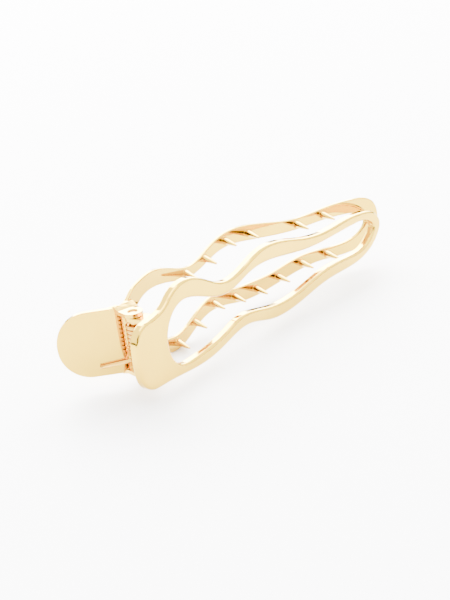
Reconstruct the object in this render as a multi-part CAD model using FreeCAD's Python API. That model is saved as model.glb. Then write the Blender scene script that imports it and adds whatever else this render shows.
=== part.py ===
import FreeCAD, Part
import math
import os

# Wave-shaped metal claw clip, standing on the long edges of its two jaws.
# X runs from the hinge to the tip, Y from the front jaw to the toothed back jaw, and Z along the hinge pin.
# Every piece is made with the middle of the pin at the origin, then the whole clip is moved so that its
# footprint is centred on the origin and its lowest edge is at Z = 0.  Lengths are in millimetres.

# ---- driving sizes
front_reach = 80.3          # pin axis to the tip of the front jaw
back_reach = 82.8           # pin axis to the tip of the back jaw
wave_height = 10.0          # scale of the wave heights listed below
hinge_gap_front = 5.5       # pin axis to the hidden face of the front jaw
hinge_gap_back = 3.5        # pin axis to the inner face of the back jaw
tip_gap = 0.2               # between the closed tips

# ---- hinge
pin_radius = 1.05
press_clearance = 0.01      # between the pin and the ears that hold it
running_clearance = 0.05    # between the pin and the lugs that turn on it
ear_height = 7.2            # middle of the pin to the outer side of an ear
ear_thickness = 0.9
ear_radius = 2.2
ear_rise = 0.6              # the ears stand this much further out where they leave the jaw
ear_root_half = 2.75
ear_mouth = 0.15            # bevel around the mouth of each ear's bore
pin_recess = 0.35           # how deep the pin's ends lie below the ears' outer sides
side_play = 0.1             # between each ear and the lug inside it
lug_thickness = 0.9
lug_radius = 1.9

# ---- spring
wire_radius = 0.44
coil_clearance = 0.2        # between the pin and the inside of the coil
coil_gap = 0.08             # between neighbouring turns
coil_end_play = 0.25        # between the coil's ends and the lugs
paddle_leg_length = 9.0
front_leg_length = 7.0
leg_clearance = 0.04        # between each leg's end and the face it presses on

# ---- front jaw
front_thickness = 2.1
front_rear = 7.2            # pin axis to the rear corners of the front plate
front_rear_crown = 1.1      # how far the rear edge bows out between those corners
front_corner_radius = 4.6
front_rim_top = 0.8         # the rear plate reaches this far above the upper lug
front_rim_bottom = 2.0      # and this far below the lower one
face_edge_radius = 0.6      # rounding around the polished face
hidden_edge_radius = 0.25   # rounding around the hidden face

# Wave edges, as (part of the reach, part of the wave height), from the rear to the tip.
front_top = [(0.031, 0.85), (0.060, 1.02), (0.098, 1.14), (0.145, 1.13),
             (0.194, 0.96), (0.242, 0.74), (0.292, 0.63), (0.337, 0.66), (0.389, 0.78), (0.454, 0.90),
             (0.514, 0.875), (0.573, 0.76), (0.632, 0.62), (0.701, 0.51), (0.781, 0.475), (0.863, 0.475),
             (0.925, 0.42), (0.975, 0.28)]
front_bottom = [(0.028, -0.83), (0.098, -0.865), (0.145, -0.87), (0.194, -0.835),
                (0.240, -0.76), (0.292, -0.655), (0.340, -0.61), (0.383, -0.66), (0.454, -0.815),
                (0.520, -0.855), (0.595, -0.805), (0.670, -0.72), (0.738, -0.68), (0.826, -0.69),
                (0.882, -0.665), (0.931, -0.565), (0.979, -0.32)]
front_tip_height = -0.02
front_hole_top = [(0.021, 0.06), (0.033, 0.36), (0.058, 0.60), (0.098, 0.735), (0.145, 0.685),
                  (0.194, 0.53), (0.240, 0.395), (0.292, 0.35), (0.337, 0.415), (0.383, 0.515),
                  (0.454, 0.555), (0.525, 0.48), (0.620, 0.34), (0.701, 0.275), (0.801, 0.26),
                  (0.882, 0.25), (0.935, 0.18)]
front_hole_bottom = [(0.024, -0.24), (0.037, -0.45), (0.060, -0.59), (0.102, -0.64), (0.148, -0.62),
                     (0.202, -0.57), (0.252, -0.49), (0.308, -0.36), (0.352, -0.34), (0.402, -0.41),
                     (0.458, -0.51), (0.525, -0.56), (0.583, -0.54), (0.651, -0.46), (0.713, -0.40),
                     (0.781, -0.395), (0.844, -0.435), (0.900, -0.42), (0.943, -0.27)]
front_hole_tip = (0.967, -0.04)

# ---- back jaw
back_thickness = 0.9
bow_station = 0.395         # part of the reach where the back jaw stands furthest out
bow_rise = 3.55             # how much further out it stands there than at the hinge
back_rim = 0.1              # the jaw reaches this far past the roots of the ears
back_edge_radius = 0.25
back_top = [(0.034, 0.78), (0.067, 0.92), (0.114, 1.01), (0.161, 1.04), (0.211, 0.965),
            (0.258, 0.82), (0.305, 0.68), (0.352, 0.64), (0.399, 0.75), (0.448, 0.89), (0.505, 0.965),
            (0.577, 0.905), (0.663, 0.73), (0.746, 0.59), (0.813, 0.59), (0.880, 0.615), (0.934, 0.595),
            (0.969, 0.545), (0.990, 0.41)]
back_bottom = [(0.034, -0.75), (0.088, -0.80), (0.161, -0.94), (0.215, -1.04),
               (0.258, -1.02), (0.305, -0.88), (0.353, -0.725), (0.401, -0.665), (0.448, -0.70),
               (0.501, -0.795), (0.565, -0.85), (0.625, -0.82), (0.692, -0.74), (0.752, -0.67),
               (0.813, -0.65), (0.867, -0.68), (0.921, -0.66), (0.966, -0.54), (0.990, -0.36)]
back_hole_top = [(0.049, 0.00), (0.061, 0.36), (0.112, 0.62), (0.161, 0.66), (0.210, 0.60), (0.258, 0.495),
                 (0.305, 0.40), (0.352, 0.40), (0.399, 0.485), (0.448, 0.59), (0.501, 0.62), (0.577, 0.525),
                 (0.663, 0.395), (0.746, 0.315), (0.830, 0.315), (0.906, 0.28), (0.944, 0.19)]
back_hole_bottom = [(0.059, -0.28), (0.112, -0.44), (0.161, -0.58), (0.210, -0.69), (0.258, -0.71),
                    (0.305, -0.58), (0.352, -0.43), (0.398, -0.33), (0.444, -0.355), (0.505, -0.44),
                    (0.571, -0.48), (0.631, -0.485), (0.705, -0.40), (0.758, -0.35), (0.830, -0.38),
                    (0.891, -0.40), (0.936, -0.28)]
back_hole_tip = (0.960, 0.00)

# ---- paddle of the back jaw
paddle_angle = math.radians(49)   # between the paddle and the front jaw
paddle_length = 13.0              # straight part, past the bend
paddle_half_width = 7.5
paddle_corner_radius = 7.2
paddle_clearance = 0.16           # between the coil and the plane of the paddle's inner face
bend_radius = 2.2                 # on the outer face

# ---- teeth of the back jaw
tooth_first_top = 18.6            # pin axis to the first tooth of the upper row
tooth_pitch_top = 7.2
tooth_first_bottom = 19.4         # and of the lower row
tooth_pitch_bottom = 7.05
tooth_tip_margin = 7.0            # least distance from the last teeth to the end of the opening
tooth_length = 5.0
tooth_root_radius = 0.95
tooth_tip_radius = 0.25
lean = math.radians(20)           # the teeth and the ears lean back towards the hinge

# ---- sizes that follow
lug_top = ear_height - ear_thickness - side_play
coil_radius = pin_radius + coil_clearance + wire_radius
coil_pitch = 2 * wire_radius + coil_gap
paddle_gap = coil_radius + wire_radius + paddle_clearance


def at(x, y, z=0.0):
    return FreeCAD.Vector(x, y, z)


def spline(points, closed=False):
    curve = Part.BSplineCurve()
    curve.interpolate(points, closed)
    return curve.toShape()


def stations(pairs, reach):
    """Points of a wave edge in the XZ plane, from parts of the reach and of the wave height."""
    return [at(part * reach, 0, height * wave_height) for part, height in pairs]


def wave_hole(top, tip, bottom, reach):
    """The closed edge of a jaw's long opening."""
    return spline(stations(top + [tip] + bottom[::-1], reach), True)


def prism(edges, y_start, y_end):
    """A solid along Y whose outline is a closed loop of edges in the XZ plane."""
    face = Part.Face(Part.Wire(Part.sortEdges(edges)[0]))
    face.translate(at(0, y_start))
    return face.extrude(at(0, y_end - y_start))


def upright(radius, z_low, z_high):
    """A cylinder on the pin axis."""
    return Part.makeCylinder(radius, z_high - z_low, at(0, 0, z_low))


def round_edges(solid, radius, wanted):
    return solid.makeFillet(radius, [edge for edge in solid.Edges if wanted(edge)])


def lies_at_y(edge, y):
    box = edge.BoundBox
    return abs(box.YMin - y) < 0.01 and abs(box.YMax - y) < 0.01


# ---------------------------------------------------------------- front jaw
def front_outline():
    top_corner = at(-front_rear, 0, lug_top + front_rim_top)
    bottom_corner = at(-front_rear, 0, -lug_top - front_rim_bottom)
    over = [top_corner, at(-front_rear / 2, 0, top_corner.z)] + stations(front_top, front_reach)
    under = stations(front_bottom[::-1], front_reach) + [at(-front_rear / 2, 0, bottom_corner.z), bottom_corner]
    tip = at(front_reach, 0, front_tip_height * wave_height)
    middle = at(-front_rear - front_rear_crown, 0, (top_corner.z + bottom_corner.z) / 2)
    return [spline(over + [tip] + under), Part.Arc(bottom_corner, middle, top_corner).toShape()]


def front_lug(z_low):
    """A round-ended tab from the front plate to the pin."""
    root = -hinge_gap_front - front_thickness / 2
    corners = [at(-lug_radius, 0, z_low), at(-lug_radius, root, z_low), at(lug_radius, root, z_low),
               at(lug_radius, 0, z_low)]
    tab = Part.Face(Part.makePolygon(corners + [corners[0]])).extrude(at(0, 0, lug_thickness))
    return tab.fuse(upright(lug_radius, z_low, z_low + lug_thickness))


def front_jaw():
    y_back = -hinge_gap_front
    y_face = y_back - front_thickness
    plate = prism(front_outline(), y_face, y_back)
    plate = round_edges(plate, front_corner_radius,
                        lambda e: e.BoundBox.XMax < -front_rear + 0.01 and e.BoundBox.YLength > 1)
    hole = wave_hole(front_hole_top, front_hole_tip, front_hole_bottom, front_reach)
    plate = plate.cut(prism([hole], y_face - 1, y_back + 1))
    plate = round_edges(plate, face_edge_radius, lambda e: lies_at_y(e, y_face))
    plate = round_edges(plate, hidden_edge_radius, lambda e: lies_at_y(e, y_back))
    jaw = plate.multiFuse([front_lug(lug_top - lug_thickness), front_lug(-lug_top)])
    return jaw.cut(upright(pin_radius + running_clearance, -ear_height, ear_height))


# ---------------------------------------------------------------- back jaw
bow_x = bow_station * back_reach
bow_y = hinge_gap_back + bow_rise
tip_drop = bow_y + hinge_gap_front - tip_gap
bow_rear_radius = (bow_x ** 2 + bow_rise ** 2) / (2 * bow_rise)
bow_tip_radius = ((back_reach - bow_x) ** 2 + tip_drop ** 2) / (2 * tip_drop)
bow_end_angle = math.asin((back_reach + back_thickness - bow_x) / bow_tip_radius)   # just past the tip
paddle_normal = FreeCAD.Vector(math.sin(paddle_angle), math.cos(paddle_angle), 0)
bend_reach = back_thickness + bend_radius
bow_rear_angle = paddle_angle - math.acos(
    (paddle_gap + bend_reach - paddle_normal.dot(FreeCAD.Vector(bow_x, bow_y - bow_rear_radius, 0)))
    / (bow_rear_radius + bend_reach))


def bow(offset, angle, radius):
    """A point of the bowed sheet, a distance outside its inner face; angle 0 is the top of the bow."""
    reach = radius + offset
    return at(bow_x + reach * math.sin(angle), bow_y - radius + reach * math.cos(angle))


def bend(offset, angle):
    """A point of the bend between the jaw and its paddle."""
    centre = bow(bend_reach, bow_rear_angle, bow_rear_radius)
    return centre - at(math.sin(angle), math.cos(angle)) * (bend_reach - offset)


def sheet_side(offset):
    """One face of the folded sheet, seen along the pin, from the paddle's end to the tip."""
    paddle_start = bend(offset, paddle_angle)
    paddle_end = paddle_start + at(-math.cos(paddle_angle), math.sin(paddle_angle)) * paddle_length
    points = [[bow(offset, angle, bow_rear_radius) for angle in (bow_rear_angle, bow_rear_angle / 2, 0)],
              [bow(offset, angle, bow_tip_radius) for angle in (0, bow_end_angle / 2, bow_end_angle)],
              [bend(offset, angle) for angle in
               (paddle_angle, (paddle_angle + bow_rear_angle) / 2, bow_rear_angle)]]
    arcs = [Part.Arc(*three).toShape() for three in points]
    return [Part.LineSegment(paddle_end, paddle_start).toShape(), arcs[2], arcs[0], arcs[1]]


def paddle_end(offset):
    return sheet_side(offset)[0].Vertexes[0].Point


def sheet():
    """The folded sheet, wider than the jaw."""
    tip_cap = Part.LineSegment(bow(0, bow_end_angle, bow_tip_radius),
                               bow(back_thickness, bow_end_angle, bow_tip_radius)).toShape()
    rear_cap = Part.LineSegment(paddle_end(back_thickness), paddle_end(0)).toShape()
    edges = sheet_side(0) + [tip_cap] + sheet_side(back_thickness) + [rear_cap]
    face = Part.Face(Part.Wire(Part.sortEdges(edges)[0]))
    face.translate(at(0, 0, -2 * wave_height))
    return face.extrude(at(0, 0, 4 * wave_height))


def pin_side():
    """The space on the pin's side of the sheet, up to the middle of its thickness."""
    edges = sheet_side(back_thickness / 2)
    rear = edges[0].Vertexes[0].Point
    tip = bow(back_thickness / 2, bow_end_angle, bow_tip_radius)
    low = -2 * wave_height
    edges += [Part.LineSegment(rear, at(rear.x, low)).toShape(),
              Part.LineSegment(at(rear.x, low), at(tip.x, low)).toShape(),
              Part.LineSegment(at(tip.x, low), tip).toShape()]
    face = Part.Face(Part.Wire(Part.sortEdges(edges)[0]))
    face.translate(at(0, 0, low))
    return face.extrude(at(0, 0, -2 * low))


def back_outline():
    root = ear_height + ear_rise + back_rim
    over = [at(0, 0, root)] + stations(back_top, back_reach)
    under = stations(back_bottom[::-1], back_reach) + [at(0, 0, -root)]
    rear = bend(0, paddle_angle).x
    far = -2 * wave_height
    corners = [under[-1], at(rear, 0, -paddle_half_width), at(far, 0, -paddle_half_width),
               at(far, 0, paddle_half_width), at(rear, 0, paddle_half_width), over[0]]
    lines = [Part.LineSegment(a, b).toShape() for a, b in zip(corners, corners[1:])]
    return [spline(over + [at(back_reach, 0, 0)] + under)] + lines


def edge_height(edge, x, far):
    """Height of a wave edge at x, looked for between Z = 0 and far."""
    probe = Part.LineSegment(at(x, 0, 0), at(x, 0, far)).toShape()
    return edge.distToShape(probe)[1][0][0].z


def tooth(x, z):
    """A blunt cone from the sheet towards the front jaw."""
    radius = bow_rear_radius if x < bow_x else bow_tip_radius
    root = bow(back_thickness / 2, math.asin((x - bow_x) / radius), radius)
    root.z = z
    along = at(-math.sin(lean), -math.cos(lean))
    height = tooth_length + back_thickness / 2
    cone = Part.makeCone(tooth_root_radius, tooth_tip_radius, height, root, along)
    return cone.fuse(Part.makeSphere(tooth_tip_radius, root + along * height))


def teeth():
    """Two rows of teeth, each along the middle of the jaw's upper or lower band."""
    outer = back_outline()[0]
    inner = wave_hole(back_hole_top, back_hole_tip, back_hole_bottom, back_reach)
    last = back_hole_tip[0] * back_reach - tooth_tip_margin
    solids = []
    for first, pitch, far in ((tooth_first_top, tooth_pitch_top, 2 * wave_height),
                              (tooth_first_bottom, tooth_pitch_bottom, -2 * wave_height)):
        for row in range(int((last - first) / pitch) + 1):
            x = first + row * pitch
            middle = (edge_height(outer, x, far) + edge_height(inner, x, far)) / 2
            solids.append(tooth(x, middle))
    return solids


def ear(side):
    """A tapered tab that holds one end of the pin: flat and round about it, and rising to its root."""
    along = at(math.sin(lean), math.cos(lean))
    across = at(math.cos(lean), -math.sin(lean))
    reach = hinge_gap_back + 2 * back_thickness + ear_root_half
    root = along * reach
    corners = [across * -ear_radius, root - across * ear_root_half, root + across * ear_root_half,
               across * ear_radius]
    tall = at(0, 0, 2 * side * ear_height)
    tab = Part.Face(Part.makePolygon(corners + [corners[0]])).extrude(tall)
    tab = tab.fuse(Part.makeCylinder(ear_radius, tall.Length, at(0, 0), tall))
    sheet_start = hinge_gap_back + back_thickness
    rises = [(-2 * ear_radius, 0), (ear_radius, 0), (sheet_start, ear_rise), (reach, ear_rise)]
    inner = ear_height - ear_thickness
    side_line = [along * a + at(0, 0, side * (inner + up)) for a, up in rises]
    side_line += [along * a + at(0, 0, side * (ear_height + up)) for a, up in rises[::-1]]
    strip = Part.Face(Part.makePolygon(side_line + [side_line[0]]))
    strip.translate(across * -2 * ear_root_half)
    return tab.common(strip.extrude(across * 4 * ear_root_half))


def mouth(side):
    """The bevel around the mouth of an ear's bore."""
    bore = pin_radius + press_clearance
    return Part.makeCone(bore, bore + ear_mouth, ear_mouth, at(0, 0, side * (ear_height - ear_mouth)),
                         at(0, 0, side))


def back_jaw():
    outline = prism(back_outline(), -3 * wave_height, 3 * wave_height)
    hole = wave_hole(back_hole_top, back_hole_tip, back_hole_bottom, back_reach)
    blank = sheet().common(outline).cut(prism([hole], -3 * wave_height, 3 * wave_height))
    end_x = paddle_end(0).x + back_thickness
    blank = round_edges(blank, paddle_corner_radius,
                        lambda e: e.BoundBox.XMax < end_x and e.BoundBox.ZLength < 0.01)
    blank = round_edges(blank, back_edge_radius,
                        lambda e: e.BoundBox.XMax > bow_x / 2 and e.BoundBox.XLength > back_thickness)
    space = pin_side()
    jaw = blank
    for piece in [ear(1).common(space), ear(-1).common(space)] + teeth():
        jaw = jaw.fuse(piece)
    jaw = jaw.cut(upright(pin_radius + press_clearance, -ear_height - 1, ear_height + 1))
    return jaw.cut(mouth(1)).cut(mouth(-1))


# ---------------------------------------------------------------- pin and spring
def hinge_pin():
    half = ear_height - pin_recess
    pin = upright(pin_radius, -half, half)
    return pin.makeFillet(pin_radius / 4, [edge for edge in pin.Edges if len(edge.Vertexes) == 1])


def leg_angle(gap, length):
    """Turn of a straight leg from the face it presses on, whose distance from the pin axis is gap."""
    room = gap - wire_radius - leg_clearance
    return math.asin(room / math.hypot(coil_radius, length)) - math.atan2(coil_radius, length)


def torsion_spring():
    """A close coil; its lower leg lies on the paddle and its upper leg on the front plate."""
    low_angle = math.pi / 2 - paddle_angle - leg_angle(paddle_gap, paddle_leg_length)
    high_angle = leg_angle(hinge_gap_front, front_leg_length) - math.pi / 2
    part_turn = (low_angle - high_angle) / (2 * math.pi)
    room = 2 * (lug_top - lug_thickness - coil_end_play - wire_radius)
    turns = int(room / coil_pitch - part_turn) + part_turn
    height = coil_pitch * turns
    rise = coil_pitch / (2 * math.pi * coil_radius)
    coil = Part.makeHelix(coil_pitch, height, coil_radius, 0, True)
    coil.rotate(at(0, 0, 0), at(0, 0, 1), math.degrees(low_angle))
    coil.translate(at(0, 0, -height / 2))
    low = at(coil_radius * math.cos(low_angle), coil_radius * math.sin(low_angle), -height / 2)
    high = at(coil_radius * math.cos(high_angle), coil_radius * math.sin(high_angle), height / 2)
    low_way = at(-math.sin(low_angle), math.cos(low_angle), -rise).normalize()
    high_way = at(math.sin(high_angle), -math.cos(high_angle), rise).normalize()
    low_end = low + low_way * paddle_leg_length
    low_leg = Part.LineSegment(low_end, low).toShape()
    high_leg = Part.LineSegment(high, high + high_way * front_leg_length).toShape()
    path = Part.Wire(Part.sortEdges([low_leg] + coil.Edges + [high_leg])[0])
    section = Part.Wire(Part.makeCircle(wire_radius, low_end, low_way))
    return path.makePipeShell([section], True, True)


pieces = {"front_jaw": front_jaw(), "back_jaw": back_jaw(), "hinge_pin": hinge_pin(),
          "torsion_spring": torsion_spring()}
whole = Part.makeCompound(list(pieces.values())).optimalBoundingBox(False)
move = at(-whole.Center.x, -whole.Center.y, -whole.ZMin)

os.makedirs("parts", exist_ok=True)
for name, shape in pieces.items():
    shape.translate(move)
    shape.exportStep("parts/" + name + ".step")
    print(name, "valid", shape.isValid(), "solids", len(shape.Solids), "volume", round(shape.Volume, 1))
print("pin axis at", round(move.x, 3), round(move.y, 3), round(move.z, 3))
print("size", round(whole.XLength, 2), round(whole.YLength, 2), round(whole.ZLength, 2))
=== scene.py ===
import math

import bpy
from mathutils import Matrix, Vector


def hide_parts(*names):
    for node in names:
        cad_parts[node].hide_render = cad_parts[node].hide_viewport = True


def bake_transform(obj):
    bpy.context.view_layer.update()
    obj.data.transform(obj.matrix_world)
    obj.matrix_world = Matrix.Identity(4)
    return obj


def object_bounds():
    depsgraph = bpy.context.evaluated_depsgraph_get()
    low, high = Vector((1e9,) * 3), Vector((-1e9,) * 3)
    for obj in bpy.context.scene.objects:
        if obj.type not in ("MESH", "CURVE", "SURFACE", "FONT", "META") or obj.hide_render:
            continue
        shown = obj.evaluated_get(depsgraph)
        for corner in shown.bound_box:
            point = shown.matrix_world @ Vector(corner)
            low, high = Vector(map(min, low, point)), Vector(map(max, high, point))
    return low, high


# A long sprung hair clip in polished gold plate, standing on its lower edges on a white table.
# Metres throughout. +X runs from the hinge to the tips, and -Y is out of the front jaw's face.

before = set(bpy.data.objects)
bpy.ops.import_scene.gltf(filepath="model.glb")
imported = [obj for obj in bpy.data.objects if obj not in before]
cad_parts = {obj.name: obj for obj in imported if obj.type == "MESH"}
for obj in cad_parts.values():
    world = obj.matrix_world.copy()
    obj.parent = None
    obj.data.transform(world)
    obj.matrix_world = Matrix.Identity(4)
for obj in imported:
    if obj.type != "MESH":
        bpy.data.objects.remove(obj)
cad_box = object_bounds()

camera_place = (-0.326904, -0.2911, 0.170224)
camera_turn = (69.187, 8.134, -51.162)      # degrees about X, Y and Z
camera_lens = 123.12        # millimetres, over a 36 mm sensor

table_half = 2.2            # from the middle of the table to its edge
edge_softening = 0.00018    # polishing and plating round every sharp edge by this much

air_strength = 6.0
room_inner = 13             # degrees round the camera's direction that the dark room fills
room_outer = 30             # degrees at which it has faded out
edge_height = 0.16          # how far above level the dark line beyond the table reaches, as a sine
far_box_power = 170
overhead_box_power = 25

patch_scale = 140           # patches, polish lines and dimples to the metre
polish_lines = (260, 900, 1400)
dimple_scale = 420
smooth_angle = 40
weld_distance = 0.000001
room_dark = (0.02, 0.016, 0.012, 1)

gold_face = (0.660, 0.430, 0.040, 1)
gold_deep = (0.540, 0.310, 0.020, 1)
wire_gold = (0.700, 0.420, 0.070, 1)
wire_deep = (0.420, 0.210, 0.020, 1)
pin_gold = (0.680, 0.420, 0.080, 1)
table_white = (0.86, 0.86, 0.865, 1)


# ------------------------------------------------------------ camera

def aim_camera():
    data = bpy.data.cameras.new("studio_camera")
    data.sensor_width = 36
    data.sensor_fit = "AUTO"
    data.lens = camera_lens
    data.clip_start = 0.02
    data.clip_end = 20
    camera = bpy.data.objects.new("studio_camera", data)
    bpy.context.collection.objects.link(camera)
    camera.location = camera_place
    camera.rotation_euler = [math.radians(turn) for turn in camera_turn]
    bpy.context.scene.camera = camera
    return camera


# ------------------------------------------------------------ finishes

def start_material(name):
    material = bpy.data.materials.new(name)
    material.use_nodes = True
    nodes = material.node_tree.nodes
    shader = nodes["Principled BSDF"]
    return material, nodes, material.node_tree.links, shader


def plating_group():
    """What gold plate shows up close: deeper colour in patches, soft polish lines and fine dimples."""
    group = bpy.data.node_groups.new("gold_plating", "ShaderNodeTree")
    sockets = group.interface
    for name, kind in (("Bright", "NodeSocketColor"), ("Deep", "NodeSocketColor"),
                       ("Patch", "NodeSocketFloat"), ("Smooth", "NodeSocketFloat"),
                       ("Dull", "NodeSocketFloat")):
        sockets.new_socket(name, in_out="INPUT", socket_type=kind)
    for name, kind in (("Color", "NodeSocketColor"), ("Roughness", "NodeSocketFloat"),
                       ("Height", "NodeSocketFloat")):
        sockets.new_socket(name, in_out="OUTPUT", socket_type=kind)
    nodes = group.nodes
    links = group.links
    given = nodes.new("NodeGroupInput")
    result = nodes.new("NodeGroupOutput")
    place = nodes.new("ShaderNodeTexCoord")

    cloud = nodes.new("ShaderNodeTexNoise")
    cloud.inputs["Scale"].default_value = patch_scale
    cloud.inputs["Detail"].default_value = 3
    links.new(place.outputs["Object"], cloud.inputs["Vector"])
    patch = nodes.new("ShaderNodeMapRange")
    patch.inputs["From Min"].default_value = 0.35
    patch.inputs["From Max"].default_value = 0.75
    links.new(cloud.outputs["Fac"], patch.inputs["Value"])
    links.new(given.outputs["Patch"], patch.inputs["To Max"])
    tint = nodes.new("ShaderNodeMix")
    tint.data_type = "RGBA"
    links.new(patch.outputs["Result"], tint.inputs["Factor"])
    links.new(given.outputs["Bright"], tint.inputs["A"])
    links.new(given.outputs["Deep"], tint.inputs["B"])
    links.new(tint.outputs["Result"], result.inputs["Color"])

    stretch = nodes.new("ShaderNodeMapping")
    stretch.inputs["Scale"].default_value = polish_lines
    links.new(place.outputs["Object"], stretch.inputs["Vector"])
    wipe = nodes.new("ShaderNodeTexNoise")
    wipe.inputs["Scale"].default_value = 1
    wipe.inputs["Detail"].default_value = 4
    links.new(stretch.outputs["Vector"], wipe.inputs["Vector"])
    gloss = nodes.new("ShaderNodeMapRange")
    gloss.inputs["From Min"].default_value = 0.3
    gloss.inputs["From Max"].default_value = 0.7
    links.new(wipe.outputs["Fac"], gloss.inputs["Value"])
    links.new(given.outputs["Smooth"], gloss.inputs["To Min"])
    links.new(given.outputs["Dull"], gloss.inputs["To Max"])
    links.new(gloss.outputs["Result"], result.inputs["Roughness"])

    dimple = nodes.new("ShaderNodeTexNoise")
    dimple.inputs["Scale"].default_value = dimple_scale
    dimple.inputs["Detail"].default_value = 2
    links.new(place.outputs["Object"], dimple.inputs["Vector"])
    links.new(dimple.outputs["Fac"], result.inputs["Height"])
    return group


def gold(name, plating, bright, deep, patch, smooth, dull, relief):
    """A gold finish: how patchy it is, its smoothest and dullest roughness, and how deep its dimples are."""
    material, nodes, links, shader = start_material(name)
    shader.inputs["Metallic"].default_value = 1
    detail = nodes.new("ShaderNodeGroup")
    detail.node_tree = plating
    detail.inputs["Bright"].default_value = bright
    detail.inputs["Deep"].default_value = deep
    detail.inputs["Patch"].default_value = patch
    detail.inputs["Smooth"].default_value = smooth
    detail.inputs["Dull"].default_value = dull
    links.new(detail.outputs["Color"], shader.inputs["Base Color"])
    links.new(detail.outputs["Roughness"], shader.inputs["Roughness"])
    bump = nodes.new("ShaderNodeBump")
    bump.inputs["Strength"].default_value = 1
    bump.inputs["Distance"].default_value = relief
    links.new(detail.outputs["Height"], bump.inputs["Height"])
    softened = nodes.new("ShaderNodeBevel")
    softened.samples = 4
    softened.inputs["Radius"].default_value = edge_softening
    links.new(softened.outputs["Normal"], bump.inputs["Normal"])
    links.new(bump.outputs["Normal"], shader.inputs["Normal"])
    return material


def table_paint():
    material, nodes, links, shader = start_material("white_table_paint")
    place = nodes.new("ShaderNodeTexCoord")
    cloud = nodes.new("ShaderNodeTexNoise")
    cloud.inputs["Scale"].default_value = 9
    links.new(place.outputs["Object"], cloud.inputs["Vector"])
    tint = nodes.new("ShaderNodeMix")
    tint.data_type = "RGBA"
    tint.inputs["A"].default_value = table_white
    tint.inputs["B"].default_value = [shade * 0.985 for shade in table_white[:3]] + [1]
    links.new(cloud.outputs["Fac"], tint.inputs["Factor"])
    links.new(tint.outputs["Result"], shader.inputs["Base Color"])
    shader.inputs["Roughness"].default_value = 0.55
    return material


def dress(node, material):
    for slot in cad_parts[node].material_slots:
        slot.material = material


def wind_spring():
    """The spring's wire, which winds up about the pin, its lower leg at the back jaw and its upper leg at
    the front
    jaw: a welded, smooth-shaded copy takes the place of the imported spring."""
    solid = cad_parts["torsion_spring"]
    wire = solid.copy()
    wire.data = solid.data.copy()
    wire.name = "spring_wire"
    wire.parent = None
    bpy.context.collection.objects.link(wire)
    bpy.ops.object.select_all(action="DESELECT")
    wire.select_set(True)
    bpy.context.view_layer.objects.active = wire
    bpy.ops.object.mode_set(mode="EDIT")
    bpy.ops.mesh.select_all(action="SELECT")
    bpy.ops.mesh.remove_doubles(threshold=weld_distance)
    bpy.ops.object.mode_set(mode="OBJECT")
    bpy.ops.object.shade_smooth_by_angle(angle=math.radians(smooth_angle))
    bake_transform(wire)
    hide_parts("torsion_spring")


# ------------------------------------------------------------ table and light

def lay_table(material):
    """A wide white table under the clip's lowest edge."""
    bpy.ops.object.select_all(action="DESELECT")
    bpy.ops.mesh.primitive_plane_add(size=2 * table_half, location=(0, 0, cad_box[0][2]))
    table = bpy.context.object
    table.name = "white_table"
    bpy.ops.object.transform_apply(location=True, rotation=True, scale=True)
    table.data.materials.append(material)


def softbox(name, place, size, power):
    """A soft rectangular lamp that faces the clip."""
    data = bpy.data.lights.new(name, "AREA")
    data.shape = "RECTANGLE"
    data.size, data.size_y = size
    data.energy = power
    lamp = bpy.data.objects.new(name, data)
    bpy.context.collection.objects.link(lamp)
    lamp.location = place
    lamp.rotation_euler = (-Vector(place)).to_track_quat("-Z", "Y").to_euler()


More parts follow.
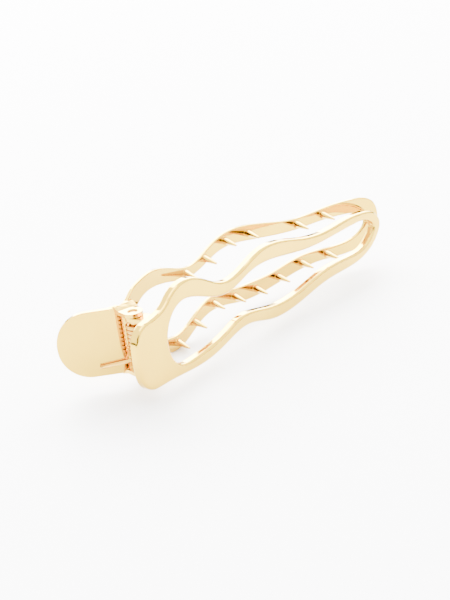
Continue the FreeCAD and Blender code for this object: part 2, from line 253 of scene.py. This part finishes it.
def light_room(camera):
    """Bright even light from all round. The metal alone also reflects the dark room behind the camera and a
    thin dark line along the far edge of the table."""
    world = bpy.data.worlds.new("studio_air")
    world.use_nodes = True
    bpy.context.scene.world = world
    nodes = world.node_tree.nodes
    links = world.node_tree.links
    air = nodes["Background"]
    air.inputs["Strength"].default_value = air_strength

    place = nodes.new("ShaderNodeTexCoord")
    toward = nodes.new("ShaderNodeVectorMath")
    toward.operation = "DOT_PRODUCT"
    toward.inputs[1].default_value = camera.location.normalized()
    links.new(place.outputs["Generated"], toward.inputs[0])
    behind = nodes.new("ShaderNodeMapRange")
    behind.interpolation_type = "SMOOTHSTEP"
    behind.inputs["From Min"].default_value = math.cos(math.radians(room_outer))
    behind.inputs["From Max"].default_value = math.cos(math.radians(room_inner))
    links.new(toward.outputs["Value"], behind.inputs["Value"])

    height = nodes.new("ShaderNodeSeparateXYZ")
    links.new(place.outputs["Generated"], height.inputs["Vector"])
    edge = nodes.new("ShaderNodeMapRange")
    edge.interpolation_type = "SMOOTHSTEP"
    edge.inputs["From Min"].default_value = edge_height
    edge.inputs["From Max"].default_value = edge_height / 2
    links.new(height.outputs["Z"], edge.inputs["Value"])

    either = nodes.new("ShaderNodeMath")
    either.operation = "MAXIMUM"
    links.new(behind.outputs["Result"], either.inputs[0])
    links.new(edge.outputs["Result"], either.inputs[1])
    path = nodes.new("ShaderNodeLightPath")
    seen = nodes.new("ShaderNodeMath")
    seen.operation = "MULTIPLY"
    links.new(either.outputs["Value"], seen.inputs[0])
    links.new(path.outputs["Is Glossy Ray"], seen.inputs[1])
    shade = nodes.new("ShaderNodeMix")
    shade.data_type = "RGBA"
    shade.inputs["A"].default_value = (1, 1, 1, 1)
    shade.inputs["B"].default_value = room_dark
    links.new(seen.outputs["Value"], shade.inputs["Factor"])
    links.new(shade.outputs["Result"], air.inputs["Color"])

    softbox("far_box", (0.75, 0.75, 0.62), (1.8, 0.8), far_box_power)
    softbox("overhead_box", (0.0, 0.1, 1.2), (0.8, 0.8), overhead_box_power)


camera = aim_camera()
plating = plating_group()
jaw_gold = gold("polished_gold_plate", plating, gold_face, gold_deep, 0.30, 0.030, 0.075, 0.000012)
spring_gold = gold("spring_wire_gold", plating, wire_gold, wire_deep, 0.35, 0.10, 0.20, 0.000006)
rivet_gold = gold("pin_gold", plating, pin_gold, gold_deep, 0.25, 0.09, 0.18, 0.000006)

dress("front_jaw", jaw_gold)
dress("back_jaw", jaw_gold)
dress("hinge_pin", rivet_gold)
dress("torsion_spring", spring_gold)
wind_spring()

lay_table(table_paint())
light_room(camera)
